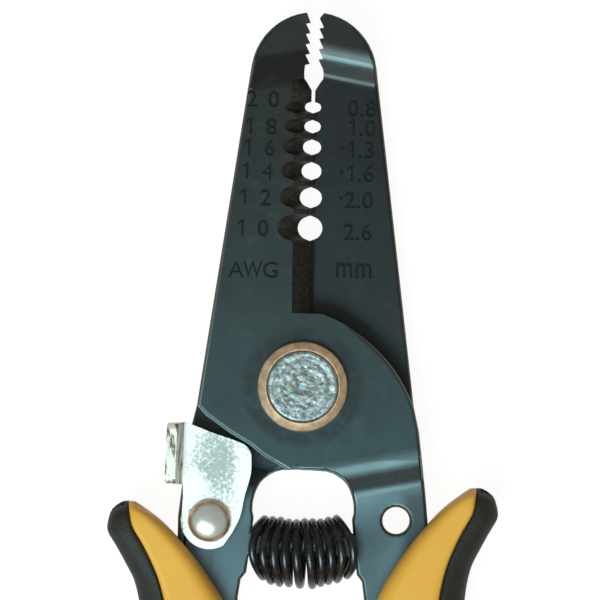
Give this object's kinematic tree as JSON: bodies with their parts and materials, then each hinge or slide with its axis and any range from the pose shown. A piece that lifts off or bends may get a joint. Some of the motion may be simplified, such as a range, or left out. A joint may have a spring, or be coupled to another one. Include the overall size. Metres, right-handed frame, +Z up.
{
  "type": "wire stripper",
  "caption": "Shear-type wire stripper pliers with gauge notches, serrated nose, return spring, lock latch and two-part grips.",
  "frame": {"origin": "on the pivot's axis, at the flat back face of the pivot rivet's head, on the plane that the tool lies on", "axes": "+Y from the pivot to the jaw tips, +Z up out of the face with the latch and the gauge marks, +X to the right of that face"},
  "size_m": [0.0484, 0.1708, 0.0116],
  "materials": {
    "black_oxide": "blued black oxide, satin",
    "rivet_steel": "peened bare steel",
    "copper": "copper plate, satin",
    "spring_steel": "black spring wire",
    "zinc": "zinc plate with a mottled surface",
    "yellow_plastic": "satin",
    "soft_black": "matte"
  },
  "bodies": {
    "front_lever": {"front_lever": "black_oxide", "right_grip_core": "yellow_plastic", "right_grip_cover": "soft_black", "pivot_rivet": "rivet_steel", "front_pivot_collar": "copper", "rear_pivot_collar": "copper", "return_spring": "spring_steel"},
    "rear_lever": {"rear_lever": "black_oxide", "left_grip_core": "yellow_plastic", "left_grip_cover": "soft_black", "latch_rivet": "rivet_steel"},
    "lock_latch": {"lock_latch": "zinc"}
  },
  "joints": [
    {"name": "jaw_pivot", "type": "hinge", "parent": "front_lever", "child": "rear_lever", "pos_m": [0, 0, 0], "axis": [0, 0, -1], "range_deg": [-1, 16], "deforming": ["return_spring"]},
    {"name": "latch_pivot", "type": "hinge", "parent": "rear_lever", "child": "lock_latch", "pos_m": [-0.01037, -0.0149, 0], "axis": [0, 0, 1], "range_deg": [-2, 32]}
  ],
  "couplings": [
    {"joint": "latch_pivot", "follows": "jaw_pivot", "ratio": 2}
  ]
}
